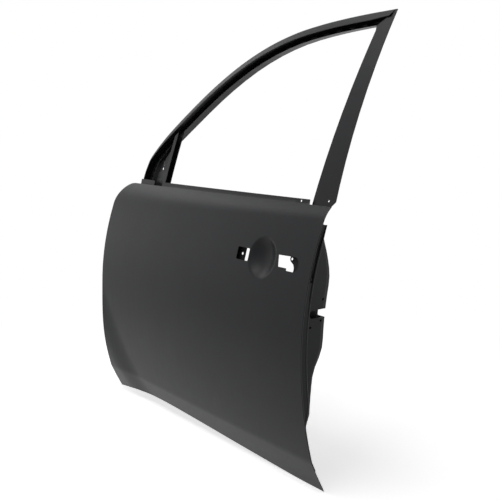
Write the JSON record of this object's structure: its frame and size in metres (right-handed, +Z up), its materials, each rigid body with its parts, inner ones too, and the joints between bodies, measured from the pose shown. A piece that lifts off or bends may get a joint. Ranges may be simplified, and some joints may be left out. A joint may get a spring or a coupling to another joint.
{
  "type": "car door shell",
  "caption": "Front left car door shell of pressed steel with hemmed outer skin, drawn inner panel, window frame and hidden reinforcements.",
  "frame": {"origin": "on the hinge wall's outer face, midway between the two bolt holes of the upper hinge", "axes": "+X towards the rear of the car, +Y inboard, +Z up"},
  "size_m": [1.1351, 0.3296, 1.2539],
  "materials": {
    "e_coat_steel": "satin",
    "mastic": "matte"
  },
  "bodies": {
    "root": {"outer_skin": "e_coat_steel", "inner_panel": "e_coat_steel", "header_outer": "e_coat_steel", "header_inner": "e_coat_steel", "sash_outer": "e_coat_steel", "sash_inner": "e_coat_steel", "division_channel": "e_coat_steel", "mirror_patch": "e_coat_steel", "header_foot_plate": "e_coat_steel", "belt_rail_outer": "e_coat_steel", "belt_rail_inner": "e_coat_steel", "hinge_plate_upper": "e_coat_steel", "hinge_plate_lower": "e_coat_steel", "check_link_plate": "e_coat_steel", "hinge_nut_upper_1": "e_coat_steel", "hinge_nut_upper_2": "e_coat_steel", "hinge_nut_lower_1": "e_coat_steel", "hinge_nut_lower_2": "e_coat_steel", "check_nut_1": "e_coat_steel", "check_nut_2": "e_coat_steel", "intrusion_beam": "e_coat_steel", "beam_bracket_front": "e_coat_steel", "beam_bracket_rear": "e_coat_steel", "flutter_pad_1": "mastic", "flutter_pad_2": "mastic", "flutter_pad_3": "mastic", "handle_bracket": "e_coat_steel", "rear_glass_channel": "e_coat_steel", "latch_plate": "e_coat_steel"}
  },
  "joints": []
}
